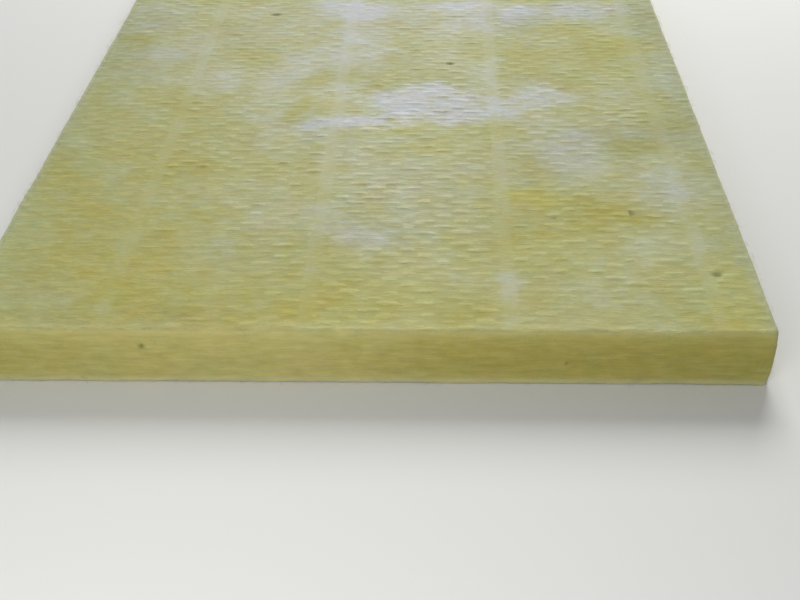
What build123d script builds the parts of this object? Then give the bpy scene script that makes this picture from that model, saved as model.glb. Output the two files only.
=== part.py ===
from build123d import *

import os

# A glass wool insulation board, lying flat as it leaves the trimming saws.
# The origin is on the floor under the board's middle, with X across the width, Y along the length
# and Z up through the thickness. Millimetres throughout.

# The trimmed board.
board_width = 1200.0
board_length = 2400.0
board_thickness = 100.0

# Wool has no sharp edges. The saws and the cutting blade come down through the top skin and drag
# its arris round, and leave the lower arris crisper.
top_arris_radius = 7.0
foot_arris_radius = 3.0
corner_radius = 8.0

# The curing oven's belts are perforated plates with plain strips between the perforated fields.
# Each strip presses a smooth, shallow band along the board, at the same places above and below.
band_width = 24.0
band_depth = 1.5
band_pitch = 304.0
band_count = 4
left_side_to_first_band = 214.0


def trimmed_blank():
    """The cut board with its worn arrises, before the bands."""
    blank = extrude(RectangleRounded(board_width, board_length, corner_radius), board_thickness)
    blank = fillet(blank.faces().sort_by(Axis.Z)[-1].edges(), top_arris_radius)
    return fillet(blank.faces().sort_by(Axis.Z)[0].edges(), foot_arris_radius)


def pressed_bands():
    """Rounds that run past both ends, and dip a band's depth into the top or the underside."""
    # The circle that passes through both edges of a band and its deepest point.
    strip_radius = ((band_width / 2) ** 2 + band_depth**2) / (2 * band_depth)
    first = left_side_to_first_band - board_width / 2
    rounds = []
    for i in range(band_count):
        for height in (board_thickness - band_depth + strip_radius, band_depth - strip_radius):
            place = Pos(first + band_pitch * i, 0, height) * Rot(X=90)
            rounds.append(place * Cylinder(strip_radius, 2 * board_length))
    return rounds


os.makedirs("parts", exist_ok=True)
export_step(trimmed_blank() - pressed_bands(), "parts/glass_wool_board.step")
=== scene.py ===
import math

import bpy
import numpy as np
from mathutils import Euler, Matrix, Vector


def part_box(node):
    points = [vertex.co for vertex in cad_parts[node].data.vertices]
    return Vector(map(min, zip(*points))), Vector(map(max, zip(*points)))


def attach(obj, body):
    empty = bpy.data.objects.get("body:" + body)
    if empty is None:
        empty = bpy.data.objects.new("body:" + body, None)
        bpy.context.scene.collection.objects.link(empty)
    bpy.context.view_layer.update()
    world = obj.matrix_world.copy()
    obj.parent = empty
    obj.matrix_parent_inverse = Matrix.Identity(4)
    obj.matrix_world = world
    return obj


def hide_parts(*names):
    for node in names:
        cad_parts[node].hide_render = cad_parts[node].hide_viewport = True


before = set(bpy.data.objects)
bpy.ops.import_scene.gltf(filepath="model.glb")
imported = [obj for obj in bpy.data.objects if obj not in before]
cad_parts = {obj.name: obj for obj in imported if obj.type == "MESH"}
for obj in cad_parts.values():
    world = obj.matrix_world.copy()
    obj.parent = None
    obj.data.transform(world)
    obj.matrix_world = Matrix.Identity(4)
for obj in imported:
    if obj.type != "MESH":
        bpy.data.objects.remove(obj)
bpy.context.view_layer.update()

bl_info = {
    "name": "Glass Wool Board",
    "version": (1, 0, 0),
    "blender": (4, 5, 0),
    "location": "View3D > Sidebar > Wool Board",
    "description": "Makes a glass wool insulation board with pressed skins, cut faces and loose fibres",
    "category": "Add Mesh",
}

MM = 0.001
NODE = "glass_wool_board"
LOW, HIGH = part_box(NODE)
MIDDLE = (LOW + HIGH) / 2
WIDTH = HIGH.x - LOW.x
LENGTH = HIGH.y - LOW.y
THICKNESS = HIGH.z - LOW.z

# The least X, Y and Z of any point: far off across and along, and the floor in height.
LOWEST = (-10.0, -10.0, LOW.z)
# Rings of mesh points that round the foot and the top arris.
FOOT_RINGS = 4
TOP_RINGS = 7

# Patches on the skins: from the left side, from the near end, half width and half length in
# millimetres, strength, and the turn in degrees of those that lie at a slant.
# Where little resin reached the fibres the skin is pale.
PALE_PATCHES = (
    (652, 732, 70, 46, 1.7, 45), (565, 648, 85, 20, 0.9, 14), (480, 618, 50, 22, 0.35, 15),
    (640, 630, 105, 26, 0.85, 6), (750, 752, 50, 30, 0.25), (700, 680, 85, 38, 0.6),
    (775, 700, 82, 62, 0.85), (915, 738, 60, 44, 0.85, 20), (880, 655, 60, 34, 0.35),
    (460, 600, 40, 42, 0.3), (955, 520, 48, 82, 0.75, 10), (1050, 595, 50, 45, 0.2),
    (890, 545, 60, 50, 0.15), (620, 450, 150, 75, 0.35), (540, 540, 120, 60, 0.25),
    (700, 565, 120, 30, 0.15), (605, 320, 140, 90, 0.23), (580, 236, 62, 24, 0.36, -15),
    (755, 270, 45, 40, 0.25), (1110, 395, 55, 95, 0.45), (1160, 210, 50, 60, 0.2),
    (400, 755, 60, 40, 0.3), (520, 745, 60, 40, 0.35), (560, 690, 90, 35, 0.25),
    (1090, 1165, 100, 50, 0.45), (995, 1110, 45, 45, 0.35), (910, 990, 70, 40, 0.3),
    (850, 790, 60, 60, 0.15), (45, 1050, 60, 50, 0.35), (100, 1185, 70, 40, 0.3),
    (1175, 850, 35, 160, 0.35), (390, 300, 40, 50, 0.25), (690, 140, 40, 90, 0.2),
    (870, 210, 40, 40, 0.2), (730, 860, 70, 40, 0.2), (420, 935, 60, 40, 0.2), (400, 650, 50, 50, 0.25),
    (35, 560, 35, 70, 0.3), (35, 300, 35, 70, 0.3), (740, 1175, 110, 40, 0.2), (60, 300, 40, 60, 0.1),
    (420, 270, 50, 40, 0.2), (829, 104, 20, 45, 0.5), (1020, 190, 60, 80, 0.25),
    (520, 1175, 80, 55, 1.0), (550, 1190, 35, 30, 0.4), (755, 1195, 62, 30, 0.8),
    (893, 1165, 34, 50, 0.9), (1010, 1180, 100, 36, 0.5), (740, 1110, 330, 100, 0.45),
    (780, 1090, 75, 55, 0.35), (720, 960, 60, 80, 0.2), (440, 930, 60, 45, 0.2),
    (850, 1110, 60, 60, 0.3), (190, 1000, 70, 60, 0.25), (330, 1040, 40, 50, 0.25),
    (1115, 1050, 50, 50, 0.2), (430, 1015, 110, 50, 0.3), (1150, 1190, 70, 50, 0.4),
    (550, 965, 55, 85, 0.55, -20), (400, 850, 45, 75, 0.45, -20), (520, 1080, 22, 60, 0.3),
    (285, 815, 34, 44, 0.5), (140, 950, 60, 34, 0.3), (70, 575, 60, 40, 0.25), (820, 870, 20, 75, 0.35),
    (640, 850, 260, 120, 0.2), (760, 755, 50, 28, 0.2), (90, 1150, 110, 80, 0.3),
    (270, 1170, 60, 50, 0.35), (270, 840, 60, 60, 0.25), (1050, 700, 60, 100, 0.25),
    (1065, 1050, 40, 40, 0.2), (330, 1480, 130, 60, 0.5, 10), (900, 1600, 160, 70, 0.55, -15),
    (980, 1540, 60, 50, 0.4), (620, 1860, 110, 90, 0.5), (680, 1780, 50, 60, 0.4),
    (160, 2080, 90, 120, 0.5, 10), (980, 2190, 120, 60, 0.55), (880, 2230, 60, 30, 0.4),
)
# Where much of it set, the skin is a deep ochre yellow.
RICH_PATCHES = (
    (880, 362, 62, 34, 0.55, -15), (1000, 322, 58, 30, 0.8, -10), (900, 245, 90, 60, 0.4),
    (438, 690, 16, 52, 0.5, -8), (462, 780, 22, 60, 0.15), (885, 940, 55, 130, 0.25),
    (970, 1060, 60, 45, 0.3), (1060, 975, 55, 90, 0.35), (1065, 545, 50, 32, 0.45),
    (235, 135, 75, 85, 0.45, 20), (300, 280, 60, 70, 0.35), (545, 130, 75, 50, 0.15),
    (190, 270, 85, 70, 0.22), (270, 445, 90, 55, 0.25), (1130, 30, 90, 45, 0.4), (110, 30, 90, 40, 0.3),
    (520, 210, 50, 35, 0.25), (570, 150, 50, 35, 0.2), (810, 325, 40, 30, 0.25),
    (510, 390, 40, 30, 0.25), (620, 510, 60, 30, 0.25), (560, 450, 50, 30, 0.2),
    (450, 630, 30, 30, 0.25), (1170, 200, 40, 60, 0.25), (840, 150, 70, 30, 0.25),
    (80, 280, 95, 150, 0.4), (1175, 30, 40, 40, 0.25), (500, 840, 60, 60, 0.2), (690, 810, 50, 40, 0.3),
    (480, 30, 100, 40, 0.2), (40, 560, 50, 200, 0.3), (420, 60, 300, 75, 0.4), (900, 60, 340, 70, 0.1),
    (50, 1015, 70, 20, 0.5), (190, 480, 170, 190, 0.2), (420, 1650, 140, 70, 0.6),
    (1000, 1880, 90, 60, 0.7), (300, 1960, 60, 90, 0.5), (720, 2240, 160, 50, 0.6),
)
# Where the skin is drawn darker or, below nothing, lighter than its resin alone would make it: partly
# duller wool, partly painted shade and painted light.
DULL_AND_SHADED_PATCHES = (
    (1010, 545, 100, 60, 0.9), (960, 590, 60, 30, 0.5), (880, 465, 70, 50, 0.5),
    (1150, 620, 60, 60, 0.6), (575, 255, 80, 50, 0.7), (400, 200, 70, 60, 0.5), (60, 1120, 90, 80, 0.5),
    (100, 910, 110, 90, 0.7), (900, 1130, 70, 60, 0.6), (720, 1000, 70, 60, -0.5),
    (750, 890, 60, 50, -0.5), (470, 745, 80, 45, -0.6), (560, 690, 90, 40, -0.4),
    (690, 505, 60, 40, -0.5), (680, 590, 120, 60, -0.35), (870, 210, 60, 40, -0.5),
    (700, 130, 90, 90, -0.4), (1165, 90, 50, 90, -1.0), (1175, 870, 40, 400, 0.7),
    (1090, 585, 80, 40, 0.5), (240, 25, 170, 40, 0.7), (335, 25, 40, 25, 0.6), (90, 105, 50, 50, 0.6),
    (1112, 390, 50, 60, 0.6), (1170, 1085, 45, 70, 0.5), (840, 1100, 70, 60, 0.4),
    (480, 715, 110, 50, -0.15), (1090, 1155, 120, 70, 0.8), (1165, 1030, 40, 60, 0.3),
    (40, 1040, 50, 160, 0.6), (1000, 565, 60, 40, 0.2), (1100, 580, 60, 40, 0.3),
    (840, 1080, 70, 60, 0.2), (500, 1170, 110, 50, 0.3), (330, 1170, 80, 60, 0.2),
    (450, 622, 50, 30, 0.5), (930, 500, 60, 40, 0.4), (45, 720, 60, 200, 0.4),
    (880, 365, 60, 30, -1.3, -15), (110, 20, 80, 25, 0.4), (250, 1050, 90, 60, 0.6),
    (500, 1090, 150, 60, 0.3), (480, 450, 130, 60, -0.35), (80, 1120, 70, 120, 0.4),
    (930, 780, 60, 60, 0.5), (930, 1080, 60, 90, 0.5), (1060, 1170, 120, 40, 0.4),
    (990, 200, 110, 80, -0.4), (600, 80, 90, 50, -0.3), (680, 560, 110, 60, -0.35),
    (660, 625, 80, 30, -0.4), (700, 750, 60, 35, -0.5), (420, 1760, 140, 120, 0.4),
    (800, 2020, 180, 120, -0.4),
)
# Where the belt pressed hardest, and where it left only faint marks.
HARD_PATCHES = (
    (690, 520, 300, 380, 0.3), (620, 230, 170, 200, 0.2), (365, 470, 150, 220, 0.3),
    (150, 950, 200, 300, 0.2), (600, 1700, 400, 300, 0.2),
)
FAINT_PATCHES = (
    (60, 420, 120, 700, 0.5), (350, 120, 150, 130, 0.35), (1190, 200, 50, 300, 0.3),
    (645, 735, 45, 28, 0.7, 30), (250, 200, 220, 220, 0.22), (1000, 230, 200, 240, 0.16),
    (700, 1700, 200, 140, 0.5), (200, 2200, 260, 160, 0.6),
)
# Painted light and painted shade on the cut faces near the two ends, from the left side and the near end.
LIT_END_PATCHES = ((390, 0, 210, 160, 0.8), (590, 0, 80, 160, 0.15), (800, 2400, 300, 160, 0.8))
SHADED_END_PATCHES = ((980, 0, 310, 160, 0.9), (265, 0, 85, 160, 0.25), (230, 2400, 300, 160, 0.8))
# Small burnt pits in the skins.
PITS = (
    (1142, 143, 9, 6, 1), (1035, 316, 5, 10, 1), (738, 889, 9, 6, 1), (340, 1149, 13, 8, 1),
    (905, 300, 4, 3, 1), (250, 1720, 7, 5, 1), (860, 2060, 8, 6, 1),
)
# Two burnt specks in each end, from the left side and from the floor.
END_PITS = ((278, 70, 6, 5, 1), (905, 41, 4, 3, 1))
# Fine creases in the skins: from the left side, and where each starts and ends along it.
CREASES = ((826, 8, 120), (890, 850, 1100), (512, 560, 700))

# The camera, to the right of the middle, before the near end and above the top, in metres, with its
# tilt from straight down, its turn to the left and its roll in degrees, and its lens in millimetres.
CAMERA_PLACE = (0.1154, LOW.y - 1.222, HIGH.z + 0.9933)
CAMERA_TILT, CAMERA_TURN, CAMERA_ROLL = 52.55, 2.56, -1.33
CAMERA_LENS = 49.05
# Half the floor's width, and how far from a point under the board's near half it starts and has
# ended to run into the backdrop, in metres.
FLOOR_REACH = 60.0
FADE_MIDDLE = (0.0, -0.6, 0.0)
FADE_START, FADE_END = 1.6, 2.5

# Blender's names for the nodes that the trees use most.
MATH = "ShaderNodeMath"
VECTOR_MATH = "ShaderNodeVectorMath"
NOISE = "ShaderNodeTexNoise"
MAP_RANGE = "ShaderNodeMapRange"
MIX = "ShaderNodeMix"
SPLIT = "ShaderNodeSeparateXYZ"
JOIN = "ShaderNodeCombineXYZ"


def linear(code):
    """An sRGB hex colour as the linear colour that Blender uses."""
    parts = [int(code[i:i + 2], 16) / 255 for i in (0, 2, 4)]
    return tuple(c / 12.92 if c <= 0.04045 else ((c + 0.055) / 1.055) ** 2.4 for c in parts) + (1.0,)


def size(name, description, millimetres):
    """A property that holds a length."""
    return bpy.props.FloatProperty(
        name=name, description=description, default=millimetres * MM, min=0.0, unit="LENGTH",
        subtype="DISTANCE",
    )


def colour(name, description, code):
    """A property that holds a colour."""
    return bpy.props.FloatVectorProperty(
        name=name, description=description, default=linear(code), size=4, min=0.0, max=1.0,
        subtype="COLOR",
    )


class BoardSizes(bpy.types.PropertyGroup):
    """The board's rounded edges, and what the curing oven's belts press into its skins."""

    top_arris: size("Top arris", "Radius where the end cuts meet the top skin", 8.0)
    foot_arris: size("Foot arris", "Radius where the end cuts meet the underside", 2.0)
    side_share: bpy.props.FloatProperty(
        name="Side share", description="The sides' arris radii as a share of the ends'", default=0.4,
        min=0.0, max=1.0,
    )
    corner: size("Corner", "Radius of the upright corners", 8.0)
    step_across: size("Step across", "Distance between mesh points across the board", 6.3)
    step_along: size("Step along", "Distance between mesh points along the board", 3.4)
    step_up: size("Step up", "Distance between mesh points up the cut faces", 4.0)
    holes_across: size("Holes across", "Distance between the holes in one row of the belt", 57.5)
    holes_along: size("Holes along", "Distance between every other row of holes", 31.2)
    mark_across: size("Mark width", "Width of the mound that bulges into a hole", 31.0)
    mark_along: size("Mark length", "Length of such a mound", 12.0)
    press: size("Press", "How far the belt sinks into the skin between its holes", 2.2)
    band_first: size("First band", "From the left side to the middle of the first smooth band", 214.0)
    band_pitch: size("Band pitch", "Distance from band to band", 304.0)
    band_width: size("Band width", "Width of a smooth band", 24.0)


class FibreSizes(bpy.types.PropertyGroup):
    """The loose fibres that stand out of the wool."""

    thickness: size("Thickness", "Thickness of a drawn fibre, which stands for a few real ones", 0.22)
    lying: size("Lying length", "Length of the fibres that lie on the skins", 22.0)
    standing: size("Standing length", "Length of the fibres along the arrises", 9.0)
    cut: size("Cut length", "Length of the fibres on the cut faces", 7.0)


class WoolColours(bpy.types.PropertyGroup):
    """The colours of the wool, from hardly any resin in it to a great deal."""

    bare: colour("Bare", "Bare glass fibre", "C5C7C4")
    light: colour("Light", "Little resin", "BDBEA3")
    usual: colour("Usual", "As much resin as usual", "B2B27C")
    rich: colour("Rich", "More resin than usual", "AEAA65")
    deep: colour("Deep", "A great deal of resin", "ADA658")
    inside: colour("Inside", "The darker layers on the cut faces", "A99F4E")
    inside_light: colour("Light layers", "The lighter layers on the cut faces", "BEB671")
    # Paler fluffed-up fibres along the end arrises, and a painted highlight on them.
    worn_and_lit: colour("Worn edges", "Fluffed-up fibres along the arrises", "C6BE80")
    foot: colour("Foot", "Bare fibre ends along the foot", "C0BD93")
    pit: colour("Pits", "Small burnt spots", "6E6A38")
    fibre: colour("Fibres", "Loose fibres", "D2CFB0")


class StageSettings(bpy.types.PropertyGroup):
    """The floor and the lamps."""

    floor: colour("Floor", "Plain pale floor", "DCDCD8")
    backdrop: colour("Backdrop", "What the eye sees behind the floor", "E2E2DF")
    key: bpy.props.FloatProperty(
        name="Key", description="Power of the large lamp beyond the far end", default=276.0, unit="POWER"
    )
    fill: bpy.props.FloatProperty(
        name="Fill", description="Power of the lamp before the near end", default=11.0, unit="POWER"
    )
    sky: bpy.props.FloatProperty(
        name="Sky", description="Strength of the even light from all round", default=0.29, min=0.0
    )


def add(tree, kind, *values, **settings):
    """Adds a node. Its settings come first, then the values of its inputs in order.

    A value is a plain value, a socket, or a node whose first output is meant. None leaves an input be.
    """
    node = tree.nodes.new(kind)
    for key, value in settings.items():
        setattr(node, key, value)
    inputs = [s for s in node.inputs if s.enabled]
    for socket, value in zip(inputs, values):
        if value is None:
            continue
        if isinstance(value, bpy.types.Node):
            value = next(s for s in value.outputs if s.enabled)
        if isinstance(value, bpy.types.NodeSocket):
            tree.links.new(value, socket)
        else:
            socket.default_value = value
    return node


def new_tree(name, sockets):
    """A Geometry Nodes tree with the named inputs (name, socket type, description)."""
    tree = bpy.data.node_groups.new(name, "GeometryNodeTree")
    tree.is_modifier = True
    tree.interface.new_socket("Geometry", in_out="INPUT", socket_type="NodeSocketGeometry")
    for label, kind, description in sockets:
        item = tree.interface.new_socket(label, in_out="INPUT", socket_type=kind)
        item.description = description
    tree.interface.new_socket("Geometry", in_out="OUTPUT", socket_type="NodeSocketGeometry")
    return tree


def run_tree(obj, tree, values):
    """The plain mesh that a tree makes of an object, with the named inputs set."""
    modifier = obj.modifiers.new(tree.name, "NODES")
    modifier.node_group = tree
    for item in tree.interface.items_tree:
        if item.in_out == "INPUT" and item.name in values:
            modifier[item.identifier] = values[item.name]
    bpy.context.view_layer.update()
    graph = bpy.context.evaluated_depsgraph_get()
    mesh = bpy.data.meshes.new_from_object(obj.evaluated_get(graph), depsgraph=graph)
    obj.modifiers.remove(modifier)
    return mesh


def new_object(name, mesh):
    """Puts a mesh in the scene at the origin."""
    obj = bpy.data.objects.new(name, mesh)
    bpy.context.scene.collection.objects.link(obj)
    return obj


def new_material(name):
    """A material with only its Principled shader and its output. Gives (material, tree, shader)."""
    material = bpy.data.materials.new(name)
    material.use_nodes = True
    tree = material.node_tree
    return material, tree, tree.nodes["Principled BSDF"]


def ring(inset, sizes, across, along):
    """The board's outline seen from above, from the corner at low X and low Y.

    It is drawn in by inset at the ends, and by a share of that at the sides. across and along are
    the shares, from -1 to 1, at which the outline has points.
    """
    half_x = WIDTH / 2 - inset * sizes.side_share
    half_y = LENGTH / 2 - inset
    radius = max(sizes.corner - inset * sizes.side_share, 1 * MM)
    # The near end, the right side, the far end and the left side, each up to where the next starts.
    end, side = np.ones(len(across) - 1), np.ones(len(along) - 1)
    share_x = np.concatenate([across[:-1], side, across[:0:-1], -side])
    share_y = np.concatenate([-end, along[:-1], end, along[:0:-1]])
    points = np.stack([share_x * half_x, share_y * half_y], 1)
    centre = np.sign(points) * (half_x - radius, half_y - radius)
    away = points - centre
    in_corner = (np.abs(points) > np.abs(centre)).all(1)
    length = np.linalg.norm(away, axis=1).clip(1e-9)
    points[in_corner] = (centre + away / length[:, None] * radius)[in_corner]
    return points + (MIDDLE.x, MIDDLE.y)


def blank_mesh(sizes):
    """The trimmed board before its skins are pressed: flat faces, rounded arrises and corners."""
    across = np.linspace(-1, 1, round(WIDTH / sizes.step_across) + 1)
    along = np.linspace(-1, 1, round(LENGTH / sizes.step_along) + 1)
    rows = round((THICKNESS - sizes.top_arris - sizes.foot_arris) / sizes.step_up)
    heights = []
    for angle in np.linspace(0, math.pi / 2, FOOT_RINGS):
        heights.append((LOW.z + sizes.foot_arris * (1 - math.cos(angle)),
                        sizes.foot_arris * (1 - math.sin(angle))))
    for share in np.linspace(0, 1, rows + 1)[1:-1]:
        bottom = LOW.z + sizes.foot_arris
        heights.append((bottom + share * (HIGH.z - sizes.top_arris - bottom), 0.0))
    for angle in np.linspace(math.pi / 2, 0, TOP_RINGS):
        heights.append((HIGH.z - sizes.top_arris * (1 - math.cos(angle)),
                        sizes.top_arris * (1 - math.sin(angle))))

    skin_points = len(across) * len(along)
    grid = np.arange(skin_points).reshape(len(along), -1)
    border = np.concatenate([grid[0, :-1], grid[:-1, -1], grid[-1, :0:-1], grid[:0:-1, 0]])
    share_x, share_y = np.meshgrid(across, along)

    def skin(z, inset):
        x = MIDDLE.x + share_x * (WIDTH / 2 - inset * sizes.side_share)
        y = MIDDLE.y + share_y * (LENGTH / 2 - inset)
        points = np.stack([x, y, np.full_like(x, z)], -1).reshape(-1, 3)
        points[border, :2] = ring(inset, sizes, across, along)
        return points

    def quads(lower_left, lower_right, upper_right, upper_left):
        return np.stack([lower_left, lower_right, upper_right, upper_left], -1).reshape(-1, 4)

    under, top = skin(*heights[0]), skin(*heights[-1])
    walls = []
    for z, inset in heights[1:-1]:
        outline = ring(inset, sizes, across, along)
        walls.append(np.column_stack([outline, np.full(len(outline), z)]))
    points = np.concatenate([under, top, *walls])

    faces = [
        quads(grid[:-1, :-1], grid[1:, :-1], grid[1:, 1:], grid[:-1, 1:]),
        quads(grid[:-1, :-1], grid[:-1, 1:], grid[1:, 1:], grid[1:, :-1]) + skin_points,
    ]
    wall_points = 2 * skin_points + np.arange(len(walls) * len(border))
    loops = [border, *wall_points.reshape(len(walls), -1), border + skin_points]
    for lower, upper in zip(loops, loops[1:]):
        faces.append(quads(lower, np.roll(lower, -1), np.roll(upper, -1), upper))
    mesh = bpy.data.meshes.new(NODE)
    mesh.from_pydata(points.tolist(), [], np.concatenate(faces).tolist())
    mesh.update()
    return mesh


def belt_marks(tree, place, faint, sizes):
    """Where the wool bulged into a hole of the belt, and where a band was pressed, from 0 to 1.

    Gives the rounded mounds that shape the mesh, the same with the steep edges that the material draws
    with bumps and paints lighter as a painted highlight, and the bands.
    """
    # The wool creeps a little as it is pulled off the belt, so the rows wander: by up to 26 mm over
    # a quarter of a metre, and by up to 11 mm across and 4 mm along from one mark to the next.
    drift = add(tree, NOISE, place, 1 / (260 * MM), 2.0, 0.5)
    moved = add(tree, VECTOR_MATH, drift.outputs["Color"], (26 * MM,) * 3, place,
                operation="MULTIPLY_ADD")
    shaky = add(tree, NOISE, place, 1 / (26 * MM), 2.0, 0.6)
    moved = add(tree, VECTOR_MATH, shaky.outputs["Color"], (11 * MM, 4 * MM, 0.0), moved,
                operation="MULTIPLY_ADD")
    x, y, _ = add(tree, SPLIT, moved).outputs
    straight_x = add(tree, SPLIT, place).outputs["X"]

    # Smooth bands, and which field between them a point is in.
    first_band = LOW.x + sizes.band_first
    from_first = add(tree, MATH, straight_x, first_band, operation="SUBTRACT")
    off_band = add(tree, MATH, from_first, sizes.band_pitch / 2, operation="PINGPONG")
    frayed = add(tree, NOISE, place, 1 / (40 * MM), 2.0, 0.6)
    off_band = add(tree, MATH, frayed, 9 * MM, off_band, operation="MULTIPLY_ADD")
    half_band = sizes.band_width / 2
    band = add(tree, MAP_RANGE, off_band, half_band, half_band + 9 * MM, 1.0, 0.0,
               interpolation_type="SMOOTHSTEP")
    plate = add(tree, MATH, from_first, sizes.band_pitch, operation="DIVIDE")
    plate = add(tree, MATH, plate, operation="FLOOR")

    # Staggered rows of long holes. Each field is a plate of its own, with its rows set differently.
    u = add(tree, MATH, x, sizes.holes_across, operation="DIVIDE")
    u = add(tree, MATH, plate, 0.45, u, operation="MULTIPLY_ADD")
    v = add(tree, MATH, y, sizes.holes_along, operation="DIVIDE")
    v = add(tree, MATH, plate, 0.31, v, operation="MULTIPLY_ADD")
    cell = []
    off_cell = []
    for operation in ("ADD", "SUBTRACT"):
        slanted = add(tree, MATH, v, u, operation=operation)
        nearest = add(tree, MATH, slanted, operation="ROUND")
        cell.append(nearest)
        off_cell.append(add(tree, MATH, slanted, nearest, operation="SUBTRACT"))
    luck = add(tree, "ShaderNodeTexWhiteNoise", add(tree, JOIN, *cell))

    # How far a point lies from its mound's middle, in shares of the mark's half size. The middle
    # strays by up to a fifteenth of the holes' distance, and some marks are narrower or shorter.
    off_u = add(tree, MATH, off_cell[0], off_cell[1], operation="SUBTRACT")
    off_v = add(tree, MATH, off_cell[0], off_cell[1], operation="ADD")
    off = add(tree, JOIN, off_u, off_v)
    off = add(tree, VECTOR_MATH, luck.outputs["Color"], (0.26, 0.26, 0.0), off,
              operation="MULTIPLY_ADD")
    off = add(tree, VECTOR_MATH, off, (0.13, 0.13, 0.0), operation="SUBTRACT")
    spread = (sizes.holes_across / sizes.mark_across, sizes.holes_along / sizes.mark_along, 0.0)
    off = add(tree, VECTOR_MATH, off, spread, operation="MULTIPLY")
    # The cube of the share across makes a bar with straight long edges out of an ellipse.
    off_u, off_v, _ = add(tree, SPLIT, off).outputs
    _, shorter, narrower = add(tree, SPLIT, luck.outputs["Color"]).outputs
    narrower = add(tree, MAP_RANGE, narrower, 0.0, 1.0, 0.7, 1.5)
    shorter = add(tree, MAP_RANGE, shorter, 0.0, 1.0, 0.95, 1.8)
    off_u = add(tree, MATH, off_u, narrower, operation="MULTIPLY")
    off_v = add(tree, MATH, off_v, shorter, operation="MULTIPLY")
    off_u = add(tree, MATH, off_u, operation="ABSOLUTE")
    off_u = add(tree, MATH, off_u, 3.0, operation="POWER")
    off = add(tree, JOIN, off_u, off_v)
    off = add(tree, VECTOR_MATH, off, operation="LENGTH").outputs["Value"]
    reach = add(tree, MAP_RANGE, luck, 0.0, 1.0, 1.15, 1.6)
    foot, brink = [add(tree, MATH, reach, less, operation="SUBTRACT") for less in (0.4, 0.85)]
    shapes = [
        add(tree, MAP_RANGE, off, outer, inner, 0.0, 1.0, interpolation_type="SMOOTHSTEP")
        for outer, inner in ((reach, 0.4), (foot, brink))
    ]

    # Some holes filled well and others hardly, and whole areas are weaker than others.
    luck = add(tree, MAP_RANGE, luck, 0.0, 1.0, 0.2, 1.0)
    area = add(tree, NOISE, place, 1 / (170 * MM), 3.0, 0.6)
    area = add(tree, MAP_RANGE, area, 0.36, 0.6, 0.35, 1.0)
    clear = add(tree, MATH, 1.0, faint, operation="SUBTRACT")
    clear = add(tree, MATH, clear, 0.0, operation="MAXIMUM")
    field = add(tree, MATH, 1.0, band, operation="SUBTRACT")
    for share in (luck, area, clear, field):
        shapes = [add(tree, MATH, shape, share, operation="MULTIPLY") for shape in shapes]
    return (*shapes, band)


def streaks(tree, place, spans, detail, roughness):
    """Noise drawn out to spans in millimetres along X, Y and Z."""
    shares = [1 / span for span in spans]
    drawn_out = add(tree, VECTOR_MATH, place, shares, operation="MULTIPLY")
    return add(tree, NOISE, drawn_out, 1 / MM, detail, roughness)


def dashes(tree, place, band):
    """How the fibres bunch up across the board against the belt's rows, which its bands hardly show."""
    smooth = add(tree, MATH, band, 0.7, operation="MULTIPLY")
    bunched = streaks(tree, place, (36, 10, 10), 2.0, 0.5)
    return add(tree, MIX, smooth, bunched, 0.5, data_type="FLOAT")


def flecks(tree, place):
    """Short bundles of fibre that stand proud, from 0 to 1; the material bumps them and paints them
    lighter, a painted glint.
    """
    bundles = streaks(tree, place, (17, 5, 5), 2.0, 0.5)
    return add(tree, MAP_RANGE, bundles, 0.5, 0.66, 0.0, 1.0, interpolation_type="SMOOTHSTEP")


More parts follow.
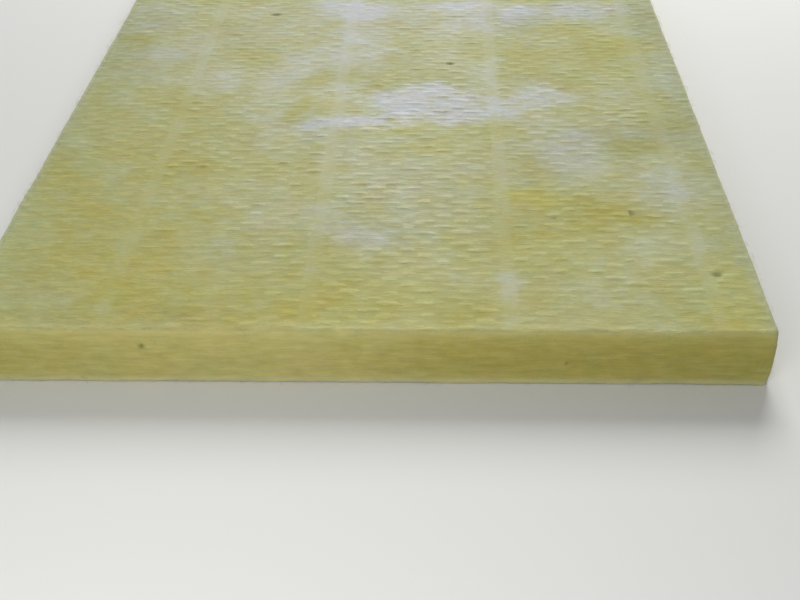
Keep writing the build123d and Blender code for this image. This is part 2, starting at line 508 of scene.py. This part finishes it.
def pressed_tree(sizes):
    """Presses the belt's marks into both skins, and roughens the arrises and cut faces."""
    tree = new_tree("Pressed Skins", (
        ("Press", "NodeSocketFloat", "How far the belt sinks in between its holes"),
        ("Material", "NodeSocketMaterial", "Finish of the wool"),
    ))
    given = add(tree, "NodeGroupInput").outputs
    place = add(tree, "GeometryNodeInputPosition")
    normal = add(tree, "GeometryNodeInputNormal")
    facing = add(tree, VECTOR_MATH, normal, operation="ABSOLUTE")
    across, along, level = add(tree, SPLIT, facing).outputs
    skin = add(tree, MAP_RANGE, level, 0.25, 0.95, 0.0, 1.0, interpolation_type="SMOOTHSTEP")
    cut = add(tree, MATH, 1.0, skin, operation="SUBTRACT")
    faint, dent = [
        add(tree, "GeometryNodeInputNamedAttribute", name, data_type="FLOAT")
        for name in ("faint", "dent")
    ]
    mound, _, band = belt_marks(tree, place, faint, sizes)

    # How far each point of the skins sinks. The underside stays above the floor, and the top,
    # which nothing weighs on, springs back.
    sunk = add(tree, MATH, 1.0, mound, operation="SUBTRACT")
    sunk = add(tree, MATH, sunk, given["Press"], operation="MULTIPLY")
    sunk = add(tree, MATH, dashes(tree, place, band), 2.8 * MM, sunk, operation="MULTIPLY_ADD")
    swell = add(tree, NOISE, place, 1 / (330 * MM), 1.0, 0.5)
    sunk = add(tree, MATH, swell, 2.0 * MM, sunk, operation="MULTIPLY_ADD")
    sunk = add(tree, MATH, dent, MM, sunk, operation="MULTIPLY_ADD")
    upward = add(tree, SPLIT, normal).outputs["Z"]
    sprung = add(tree, MAP_RANGE, upward, 0.0, 1.0, 0.0, 3.2 * MM)
    sunk = add(tree, MATH, sunk, sprung, operation="SUBTRACT")
    sunk = add(tree, MATH, sunk, skin, operation="MULTIPLY")

    # The cut faces show the layers as faint ridges, sway, and stand out a little.
    layers = streaks(tree, place, (90, 90, 10), 3.0, 0.6)
    sway = add(tree, NOISE, place, 1 / (90 * MM), 3.0, 0.6)
    # Here the offset of the cut faces only holds how far they stand out; no highlight is painted with it.
    worn_and_lit = add(tree, MATH, layers, 2.4 * MM, -4.6 * MM, operation="MULTIPLY_ADD")
    worn_and_lit = add(tree, MATH, sway, 4.0 * MM, worn_and_lit, operation="MULTIPLY_ADD")
    # The blade that cuts the ends drags the upper layers in.
    height = add(tree, SPLIT, place).outputs["Z"]
    dragged = add(tree, MAP_RANGE, height, 62 * MM, 104 * MM, 0.0, 3.4 * MM,
                  interpolation_type="SMOOTHSTEP")
    worn_and_lit = add(tree, MATH, dragged, along, worn_and_lit, operation="MULTIPLY_ADD")
    # The sides, sawn through, bulge a little once the belts let go.
    bulge = add(tree, MATH, height, math.pi / THICKNESS, operation="MULTIPLY")
    bulge = add(tree, MATH, bulge, operation="SINE")
    bulge = add(tree, MATH, bulge, across, operation="MULTIPLY")
    worn_and_lit = add(tree, MATH, bulge, -2.5 * MM, worn_and_lit, operation="MULTIPLY_ADD")
    worn_and_lit = add(tree, MATH, across, -2.0 * MM, worn_and_lit, operation="MULTIPLY_ADD")
    sunk = add(tree, MATH, worn_and_lit, cut, sunk, operation="MULTIPLY_ADD")

    # Tufts stand out of the arrises, and bits are torn from them.
    arris = add(tree, MATH, skin, cut, operation="MULTIPLY")
    tufts = add(tree, NOISE, place, 1 / (14 * MM), 3.0, 0.7)
    tufts = add(tree, MATH, tufts, 30 * MM, -18 * MM, operation="MULTIPLY_ADD")
    sunk = add(tree, MATH, tufts, arris, sunk, operation="MULTIPLY_ADD")
    inwards = add(tree, MATH, sunk, -1.0, operation="MULTIPLY")
    offset = add(tree, VECTOR_MATH, normal, inwards, operation="SCALE")
    moved = add(tree, VECTOR_MATH, place, offset, operation="ADD")
    moved = add(tree, VECTOR_MATH, moved, LOWEST, operation="MAXIMUM")

    pressed = add(tree, "GeometryNodeStoreNamedAttribute", given["Geometry"], None, "cut", cut,
                  data_type="FLOAT", domain="POINT")
    pressed = add(tree, "GeometryNodeSetPosition", pressed, None, moved)
    pressed = add(tree, "GeometryNodeSetShadeSmooth", pressed)
    pressed = add(tree, "GeometryNodeRealizeInstances", pressed)
    pressed = add(tree, "GeometryNodeSetMaterial", pressed, None, given["Material"])
    add(tree, "NodeGroupOutput", pressed)
    return tree


def patch_total(patches, across, along):
    """Each patch's strength inside its outline, falling to nothing outside, all added up."""
    values = np.zeros(len(across))
    for middle_x, middle_y, half_x, half_y, strength, *turn in patches:
        off_x, off_y = across - middle_x, along - middle_y
        angle = math.radians(turn[0] if turn else 0)
        reach = ((off_x * math.cos(angle) + off_y * math.sin(angle)) / half_x) ** 2
        reach += ((off_y * math.cos(angle) - off_x * math.sin(angle)) / half_y) ** 2
        # Flat in the middle, half gone at the outline, with a soft edge.
        values += strength * np.exp(-0.7 * reach**1.6)
    return values


def mark_skins(mesh):
    """Stores on the blank where it holds more or less resin, is dented, burnt, fluffed up or frayed, and
    where light and shade are painted on it.

    The underside's marks are those of the top turned end for end.
    """
    points = np.empty(len(mesh.vertices) * 3)
    mesh.vertices.foreach_get("co", points)
    points = points.reshape(-1, 3)
    x, from_near_end, z = (points - LOW).T / MM
    y = np.where(points[:, 2] < MIDDLE.z, LENGTH / MM - from_near_end, from_near_end)
    to_end = np.minimum(from_near_end, LENGTH / MM - from_near_end)
    to_side = np.minimum(x, WIDTH / MM - x)
    to_skin = np.minimum(z, THICKNESS / MM - z)

    # Patches have wavy outlines.
    wavy_x = x + 9 * np.sin(y / 23 + x / 90) + 5 * np.sin(y / 9 - x / 31)
    wavy_y = y + 8 * np.sin(x / 29 - y / 110) + 4 * np.sin(x / 11 + y / 37)
    pits = patch_total(PITS, x, y)
    dents = 2 * pits
    for middle_x, start, end in CREASES:
        off_line = (x - middle_x - 3 * np.sin(y / 70)) / 4
        faded = np.clip((y - start) / 30, 0, 1) * np.clip((end - y) / 30, 0, 1)
        dents += 1.2 * faded * np.exp(-(off_line**2))
    pits += (to_end < 15) * patch_total(END_PITS, x, z)
    for name, values in (
        ("resin", patch_total(RICH_PATCHES, wavy_x, wavy_y) - patch_total(PALE_PATCHES, wavy_x, wavy_y)),
        # Painted light and shade on the cut faces near the ends.
        ("painted_end_light", patch_total(LIT_END_PATCHES, x, from_near_end) - patch_total(SHADED_END_PATCHES, x, from_near_end)),
        ("dull_and_shaded", patch_total(DULL_AND_SHADED_PATCHES, wavy_x, wavy_y)),
        ("faint", patch_total(FAINT_PATCHES, wavy_x, wavy_y) - patch_total(HARD_PATCHES, wavy_x, wavy_y)),
        ("dent", dents),
        # Painted shade: darker towards the long sides.
        ("painted_side_shade", np.exp(-to_side / 110)),
        ("pit", pits),
        # Near the end arrises: fluffed-up fibres, and a painted highlight on them.
        ("worn_and_lit", np.exp(-(to_end + to_skin) / 10.5)),
        ("fringe", np.exp(-(to_side + to_skin) / 8)),
    ):
        attribute = mesh.attributes.new(name, "FLOAT", "POINT")
        attribute.data.foreach_set("value", values)


def felt_pattern(tree, place):
    """Felted fibres: thin streaks that cross at three angles and swirl a little.

    A real fibre is far too fine to see, so a streak is as wide as a visible bundle of them.
    """
    swirl = add(tree, NOISE, place, 1 / (35 * MM), 2.0, 0.5)
    bent = add(tree, VECTOR_MATH, swirl.outputs["Color"], (0.03, 0.03, 0.03), place,
               operation="MULTIPLY_ADD")
    total = 0.0
    for degrees in (8, 67, 128):
        turned = add(tree, "ShaderNodeMapping", bent, None, (0.0, 0.0, math.radians(degrees)))
        bundles = streaks(tree, turned, (16, 1.6, 5), 2.0, 0.6)
        total = add(tree, MATH, total, bundles, operation="MAXIMUM")
    return add(tree, MAP_RANGE, total, 0.42, 0.78, 0.0, 1.0)


def wool_material(colours, sizes):
    """Glass wool: glass fibres felted in layers and bonded with cured resin, pressed and sawn.

    It is quite matte, a little fuzzy at a slant, pale where bare fibre shows and deep yellow where
    much resin set.
    """
    material, tree, shader = new_material("felted_glass_wool")
    place = add(tree, "ShaderNodeTexCoord").outputs["Object"]
    resin, painted_end_light, dull_and_shaded, faint, painted_side_shade, pit, cut, worn_and_lit, fringe = [
        add(tree, "ShaderNodeAttribute", attribute_name=name).outputs["Fac"]
        for name in ("resin", "painted_end_light", "dull_and_shaded", "faint", "painted_side_shade", "pit", "cut", "worn_and_lit", "fringe")
    ]
    on_skin = add(tree, MATH, 1.0, cut, operation="SUBTRACT")
    mound, rim, band = [
        add(tree, MATH, marks, on_skin, operation="MULTIPLY")
        for marks in belt_marks(tree, place, faint, sizes)
    ]
    dash = dashes(tree, place, band)
    fleck = add(tree, MATH, flecks(tree, place), on_skin, operation="MULTIPLY")
    # Partly duller wool, partly painted shade and painted light, on the skins only.
    dull_and_shaded = add(tree, MATH, dull_and_shaded, on_skin, operation="MULTIPLY")

    # How much resin: the placed patches with ragged edges, then blotches all over at four sizes.
    ragged = add(tree, NOISE, place, 1 / (42 * MM), 5.0, 0.68)
    ragged = add(tree, MAP_RANGE, ragged, 0.3, 0.7, 0.4, 1.5)
    amount = add(tree, MATH, resin, ragged, operation="MULTIPLY")
    amount = add(tree, MATH, amount, 0.5, 0.6, operation="MULTIPLY_ADD")
    for scale, detail, weight in ((170, 3.0, 0.7), (60, 3.0, 0.45), (22, 3.0, 0.32), (7, 2.0, 0.1)):
        noise = add(tree, NOISE, place, 1 / (scale * MM), detail, 0.6)
        noise = add(tree, MATH, noise, 0.5, operation="SUBTRACT")
        amount = add(tree, MATH, noise, weight, amount, operation="MULTIPLY_ADD")
    for marks, weight in ((band, -0.055), (rim, -0.035), (dash, -0.1)):
        amount = add(tree, MATH, marks, weight, amount, operation="MULTIPLY_ADD")
    amount = add(tree, MATH, amount, 0.04, operation="ADD")
    ramp = add(tree, "ShaderNodeValToRGB", amount)
    stops = ((0.0, colours.bare), (0.3, colours.light), (0.6, colours.usual), (0.85, colours.rich),
             (1.0, colours.deep))
    elements = ramp.color_ramp.elements
    while len(elements) < len(stops):
        elements.new(0.5)
    for element, (position, shade) in zip(elements, stops):
        element.position = position
        element.color = shade

    # The layers that the cuts lay open, with pale fibre ends along the foot.
    broad = streaks(tree, place, (60, 60, 7), 3.0, 0.6)
    layers = streaks(tree, place, (35, 35, 3), 3.0, 0.6)
    clouds = add(tree, NOISE, place, 1 / (28 * MM), 3.0, 0.6)
    light = add(tree, MATH, broad, layers, operation="ADD")
    light = add(tree, MATH, light, clouds, operation="ADD")
    light = add(tree, MAP_RANGE, light, 1.15, 1.85, 0.15, 0.85)
    # Painted light and shade near the ends shift the mix towards the lighter or the darker layers.
    light = add(tree, MATH, painted_end_light, 0.45, light, operation="MULTIPLY_ADD", use_clamp=True)
    height = add(tree, SPLIT, place).outputs["Z"]
    foot = add(tree, MAP_RANGE, height, LOW.z + 5 * MM, LOW.z + 14 * MM, 0.85, 0.0)
    inside = add(tree, MIX, light, colours.inside, colours.inside_light, data_type="RGBA")
    inside = add(tree, MIX, foot, inside, colours.foot, data_type="RGBA")
    wool = add(tree, MIX, cut, ramp, inside, data_type="RGBA")
    # Along the end arrises the colour goes paler, for fluffed-up fibres and as a painted highlight; along
    # the side arrises it goes to the frayed fibres' pale grey.
    for marks, most, tint in ((worn_and_lit, 0.85, colours.worn_and_lit), (fringe, 0.75, colours.light)):
        share = add(tree, MATH, marks, most, operation="MULTIPLY")
        wool = add(tree, MIX, share, wool, tint, data_type="RGBA")
    hue = add(tree, NOISE, place, 1 / (60 * MM), 5.0, 0.72)
    hue = add(tree, VECTOR_MATH, hue.outputs["Color"], (0.26, 0.08, 0.16), (0.87, 0.96, 0.92),
              operation="MULTIPLY_ADD")
    # Painted shade towards the long sides turns the colour a little greener, and the shade below darkens
    # it.
    greener = add(tree, VECTOR_MATH, (0.0, 0.04, -0.05), painted_side_shade, operation="SCALE")
    hue = add(tree, VECTOR_MATH, hue, greener, operation="ADD")
    wool = add(tree, VECTOR_MATH, wool, hue, operation="MULTIPLY")

    # Painted light and shade: pressed land is drawn darker than the mounds, as painted shade between them,
    # the mounds' rims lighter as a painted highlight and proud flecks of fibre lighter as a painted glint.
    # Streaks of fibre are lighter and pits burnt; the end arrises get a painted highlight, the long sides
    # painted shade, and the dull patches partly painted shade and light. What the marks add on the whole
    # is then taken off again, so the colours keep their level.
    felt = add(tree, MATH, felt_pattern(tree, place), on_skin, operation="MULTIPLY")
    shade = add(tree, MATH, mound, cut, operation="MAXIMUM")
    shade = add(tree, MAP_RANGE, shade, 0.0, 0.6, 0.92, 1.0)
    grain = add(tree, NOISE, place, 1 / (6 * MM), 2.0, 0.6)
    grain = add(tree, MATH, grain, on_skin, operation="MULTIPLY")
    for marks, weight in ((worn_and_lit, 0.085), (felt, 0.04), (dash, 0.36), (grain, 0.1), (band, 0.03),
                          (fleck, 0.07), (rim, 0.09), (painted_side_shade, -0.09), (fringe, -0.07), (dull_and_shaded, -0.09)):
        shade = add(tree, MATH, marks, weight, shade, operation="MULTIPLY_ADD")
    brought_back = add(tree, MATH, on_skin, 0.079, 0.18, operation="MULTIPLY_ADD")
    shade = add(tree, MATH, shade, brought_back, operation="SUBTRACT")
    wool = add(tree, VECTOR_MATH, wool, shade, operation="SCALE")
    burnt = add(tree, MAP_RANGE, pit, 0.25, 0.95, 0.0, 0.8)
    wool = add(tree, MIX, burnt, wool, colours.pit, data_type="RGBA")
    tree.links.new(wool.outputs[2], shader.inputs["Base Color"])

    # Bump for what is finer than the mesh, with heights in millimetres: the edges of the mounds, the
    # felt and the cut layers.
    bumps = add(tree, MATH, layers, cut, operation="MULTIPLY")
    for marks, weight in ((felt, 0.15), (rim, 0.5), (dash, 0.95), (fleck, 0.5), (grain, 0.12)):
        bumps = add(tree, MATH, marks, weight, bumps, operation="MULTIPLY_ADD")
    bump = add(tree, "ShaderNodeBump", 0.8, 1.0 * MM, None, bumps)
    tree.links.new(bump.outputs["Normal"], shader.inputs["Normal"])
    shader.inputs["Roughness"].default_value = 0.92
    shader.inputs["Specular IOR Level"].default_value = 0.15
    shader.inputs["Sheen Weight"].default_value = 0.2
    shader.inputs["Sheen Roughness"].default_value = 0.5
    return material


def fibre_material(colours):
    """Loose glass fibre, clear but too fine to see through: a pale glint in daylight."""
    material, tree, shader = new_material("loose_glass_fibre")
    place = add(tree, "ShaderNodeTexCoord").outputs["Object"]
    tint = add(tree, NOISE, place, 1 / (60 * MM), 2.0, 0.5)
    tint = add(tree, MAP_RANGE, tint, 0.35, 0.65, 0.0, 0.7)
    tint = add(tree, MIX, tint, colours.fibre, colours.usual, data_type="RGBA")
    tree.links.new(tint.outputs[2], shader.inputs["Base Color"])
    shader.inputs["Roughness"].default_value = 0.55
    shader.inputs["IOR"].default_value = 1.5
    return material


def fibre_tree():
    """Scatters loose fibres over the faces whose slope lies between two limits."""
    tree = new_tree("Loose Fibres", (
        ("Least Level", "NodeSocketFloat", "Fibres grow where the normal's Z is at least this"),
        ("Most Level", "NodeSocketFloat", "and at most this"),
        ("Per Square Metre", "NodeSocketFloat", "How many fibres grow where they grow thickest"),
        ("Length", "NodeSocketFloat", "Length of an average fibre"),
        ("Thickness", "NodeSocketFloat", "Thickness of a fibre"),
        ("Lift", "NodeSocketFloat", "How far a fibre stands off, as a share of its length"),
        ("Clump", "NodeSocketFloat", "Below this noise value no fibre grows"),
        ("Seed", "NodeSocketInt", "Changes where each fibre grows"),
        ("Material", "NodeSocketMaterial", "Finish of the fibres"),
    ))
    given = add(tree, "NodeGroupInput").outputs
    normal = add(tree, "GeometryNodeInputNormal")
    level = add(tree, SPLIT, normal).outputs["Z"]
    level = add(tree, MATH, level, operation="ABSOLUTE")
    above = add(tree, "FunctionNodeCompare", level, given["Least Level"], data_type="FLOAT",
                operation="GREATER_EQUAL")
    below = add(tree, "FunctionNodeCompare", level, given["Most Level"], data_type="FLOAT",
                operation="LESS_EQUAL")
    where = add(tree, "FunctionNodeBooleanMath", above, below, operation="AND")
    place = add(tree, "GeometryNodeInputPosition")
    clumps = add(tree, NOISE, place, 1 / (40 * MM), 2.0, 0.6)
    full = add(tree, MATH, given["Clump"], 0.2, operation="ADD")
    clumps = add(tree, MAP_RANGE, clumps, given["Clump"], full, 0.0, 1.0)
    density = add(tree, MATH, given["Per Square Metre"], clumps, operation="MULTIPLY")
    points = add(tree, "GeometryNodeDistributePointsOnFaces", given["Geometry"], where, density,
                 given["Seed"], distribute_method="RANDOM")

    # Three bends of fibre, drawn one unit long: along X, with Z away from the wool.
    radius = add(tree, MATH, given["Thickness"], 0.5, operation="MULTIPLY")
    profile = add(tree, "GeometryNodeCurvePrimitiveCircle", 3, radius, mode="RADIUS")
    shapes = add(tree, "GeometryNodeGeometryToInstance")
    for first_handle, second_handle, end in (
        ((0.3, 0.2, 0.6), (0.7, 0.25, 0.9), (1.0, -0.05, 0.35)),
        ((0.2, -0.3, 0.9), (0.6, -0.1, 1.0), (0.9, 0.3, 0.7)),
        ((0.4, -0.1, 0.3), (0.5, 0.45, 0.8), (0.8, 0.5, 1.1)),
    ):
        ends = []
        for x, y, z in (first_handle, second_handle, end):
            rise = add(tree, MATH, given["Lift"], z, operation="MULTIPLY")
            lifted = add(tree, JOIN, x, y, rise)
            ends.append(add(tree, VECTOR_MATH, lifted, given["Length"], operation="SCALE"))
        curve = add(tree, "GeometryNodeCurvePrimitiveBezierSegment", 4, (0.0, 0.0, 0.0), *ends,
                    mode="POSITION")
        fibre = add(tree, "GeometryNodeCurveToMesh", curve, profile, None, True)
        tree.links.new(fibre.outputs[0], shapes.inputs[0])
    which = add(tree, "FunctionNodeRandomValue", 0, 2, None, given["Seed"], data_type="INT")
    scale = add(tree, "FunctionNodeRandomValue", 0.5, 1.35, None, given["Seed"], data_type="FLOAT")
    placed = add(tree, "GeometryNodeInstanceOnPoints", points.outputs["Points"], None, shapes, True, which,
                 points.outputs["Rotation"], scale)
    turn = add(tree, "FunctionNodeRandomValue", (-0.25, -0.25, 0.0), (0.25, 0.25, 2 * math.pi), None,
               given["Seed"], data_type="FLOAT_VECTOR")
    placed = add(tree, "GeometryNodeRotateInstances", placed, None, turn)
    placed = add(tree, "GeometryNodeRealizeInstances", placed)
    # What hangs below the board is pressed flat against the floor.
    spot = add(tree, "GeometryNodeInputPosition")
    kept_up = add(tree, VECTOR_MATH, spot, LOWEST, operation="MAXIMUM")
    placed = add(tree, "GeometryNodeSetPosition", placed, None, kept_up)
    placed = add(tree, "GeometryNodeSetShadeSmooth", placed)
    placed = add(tree, "GeometryNodeSetMaterial", placed, None, given["Material"])
    add(tree, "NodeGroupOutput", placed)
    return tree


class WOOL_OT_board(bpy.types.Operator):
    """Makes the board with its pressed skins, tufted arrises with a painted highlight along the ends, and
    cut faces
    """

    bl_idname = "wool.board"
    bl_label = "Board"

    def execute(self, context):
        sizes = context.scene.wool_board
        board = new_object("wool_board", blank_mesh(sizes))
        mark_skins(board.data)
        board.data = run_tree(board, pressed_tree(sizes), {
            "Press": sizes.press,
            "Material": wool_material(context.scene.wool_colours, sizes),
        })
        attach(board, "root")
        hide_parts(NODE)
        return {"FINISHED"}


class WOOL_OT_fibres(bpy.types.Operator):
    """Scatters loose fibres on the skins, along the arrises and on the cut faces"""

    bl_idname = "wool.fibres"
    bl_label = "Loose Fibres"

    def execute(self, context):
        board = bpy.data.objects.get("wool_board")
        if board is None:
            raise RuntimeError("make the board before its fibres")
        fibres = context.scene.wool_fibres
        tree = fibre_tree()
        finish = fibre_material(context.scene.wool_colours)
        for name, least, most, density, length, lift, clump, seed in (
            ("skin_fibres", 0.97, 1.0, 1600, fibres.lying, 0.05, 0.45, 11),
            ("arris_fibres", 0.25, 0.93, 30000, fibres.standing, 0.5, 0.25, 12),
            ("cut_fibres", 0.0, 0.2, 9000, fibres.cut, 0.25, 0.3, 13),
        ):
            mesh = run_tree(board, tree, {
                "Least Level": least,
                "Most Level": most,
                "Per Square Metre": float(density),
                "Length": length,
                "Thickness": fibres.thickness,
                "Lift": lift,
                "Clump": clump,
                "Seed": seed,
                "Material": finish,
            })
            piece = new_object(name, mesh)
            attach(piece, "root")
        return {"FINISHED"}


def rays_that_see(tree):
    """1 for rays that the eye sees, straight, reflected or through glass, and 0 for the others."""
    rays = add(tree, "ShaderNodeLightPath").outputs
    seen = add(tree, MATH, rays["Is Camera Ray"], rays["Is Glossy Ray"], operation="ADD")
    return add(tree, MATH, seen, rays["Is Transmission Ray"], operation="ADD", use_clamp=True)


def floor_material(stage):
    """A plain pale matte floor, which the eye sees run into a backdrop of one pale tone."""
    material, tree, shader = new_material("pale_floor")
    shader.inputs["Base Color"].default_value = stage.floor
    shader.inputs["Roughness"].default_value = 0.9
    place = add(tree, "ShaderNodeTexCoord").outputs["Object"]
    away = add(tree, VECTOR_MATH, place, FADE_MIDDLE, operation="DISTANCE").outputs["Value"]
    away = add(tree, MAP_RANGE, away, FADE_START, FADE_END, 0.0, 1.0, interpolation_type="SMOOTHSTEP")
    away = add(tree, MATH, away, rays_that_see(tree), operation="MULTIPLY")
    backdrop = add(tree, "ShaderNodeEmission", stage.backdrop, 1.0)
    mixed = add(tree, "ShaderNodeMixShader", away, shader, backdrop)
    tree.links.new(mixed.outputs[0], tree.nodes["Material Output"].inputs["Surface"])
    return material


def lamp(name, place, aim, width, power):
    """A square soft lamp at a place, turned to a point."""
    data = bpy.data.lights.new(name, "AREA")
    data.size = width
    data.energy = power
    obj = bpy.data.objects.new(name, data)
    obj.location = place
    obj.rotation_euler = (Vector(aim) - Vector(place)).to_track_quat("-Z", "Y").to_euler()
    obj.visible_camera = False
    bpy.context.scene.collection.objects.link(obj)


class WOOL_OT_stage(bpy.types.Operator):
    """Makes the camera, the floor, the lamps and the sky"""

    bl_idname = "wool.stage"
    bl_label = "Stage"

    def execute(self, context):
        stage = context.scene.wool_stage
        camera = bpy.data.cameras.new("camera")
        camera.sensor_width = 36.0
        camera.lens = CAMERA_LENS
        eye = bpy.data.objects.new("camera", camera)
        turned = Euler((math.radians(CAMERA_TILT), 0.0, math.radians(CAMERA_TURN))).to_matrix().to_4x4()
        rolled = Matrix.Rotation(math.radians(CAMERA_ROLL), 4, "Z")
        eye.matrix_world = Matrix.Translation(CAMERA_PLACE) @ turned @ rolled
        context.scene.collection.objects.link(eye)
        context.scene.camera = eye

        corners = [
            (x * FLOOR_REACH, y * FLOOR_REACH, LOW.z) for x, y in ((-1, -1), (1, -1), (1, 1), (-1, 1))
        ]
        mesh = bpy.data.meshes.new("floor")
        mesh.from_pydata(corners, [], [(0, 1, 2, 3)])
        mesh.materials.append(floor_material(stage))
        new_object("floor", mesh)

        lamp("key", (1.0, 3.4, 3.6), (0.0, -0.4, 0.0), 2.8, stage.key)
        lamp("fill", (-0.32, -2.36, 1.0), (-0.25, -1.2, 0.0), 1.0, stage.fill)

        world = bpy.data.worlds.new("sky")
        world.use_nodes = True
        tree = world.node_tree
        lit = tree.nodes["Background"]
        lit.inputs["Color"].default_value = linear("F4F6FA")
        lit.inputs["Strength"].default_value = stage.sky
        seen = add(tree, "ShaderNodeBackground", stage.backdrop, 1.0)
        mixed = add(tree, "ShaderNodeMixShader", rays_that_see(tree), lit, seen)
        tree.links.new(mixed.outputs[0], tree.nodes["World Output"].inputs["Surface"])
        context.scene.world = world
        context.scene.view_settings.view_transform = "Standard"
        return {"FINISHED"}


class WOOL_PT_panel(bpy.types.Panel):
    """Lists the settings and the steps"""

    bl_label = "Wool Board"
    bl_idname = "WOOL_PT_panel"
    bl_space_type = "VIEW_3D"
    bl_region_type = "UI"
    bl_category = "Wool Board"

    def draw(self, context):
        for group, step in (
            (context.scene.wool_stage, "wool.stage"),
            (context.scene.wool_board, "wool.board"),
            (context.scene.wool_fibres, "wool.fibres"),
            (context.scene.wool_colours, None),
        ):
            box = self.layout.box()
            for key in group.__annotations__:
                box.prop(group, key)
            if step:
                box.operator(step)


CLASSES = (
    BoardSizes,
    FibreSizes,
    WoolColours,
    StageSettings,
    WOOL_OT_stage,
    WOOL_OT_board,
    WOOL_OT_fibres,
    WOOL_PT_panel,
)
GROUPS = {
    "wool_board": BoardSizes,
    "wool_fibres": FibreSizes,
    "wool_colours": WoolColours,
    "wool_stage": StageSettings,
}


def register():
    for kind in CLASSES:
        bpy.utils.register_class(kind)
    for name, kind in GROUPS.items():
        setattr(bpy.types.Scene, name, bpy.props.PointerProperty(type=kind))


def unregister():
    for name in GROUPS:
        delattr(bpy.types.Scene, name)
    for kind in reversed(CLASSES):
        bpy.utils.unregister_class(kind)


def main():
    """Builds the stage, the board and its fibres."""
    register()
    bpy.ops.wool.stage()
    bpy.ops.wool.board()
    bpy.ops.wool.fibres()


if __name__ == "__main__":
    main()
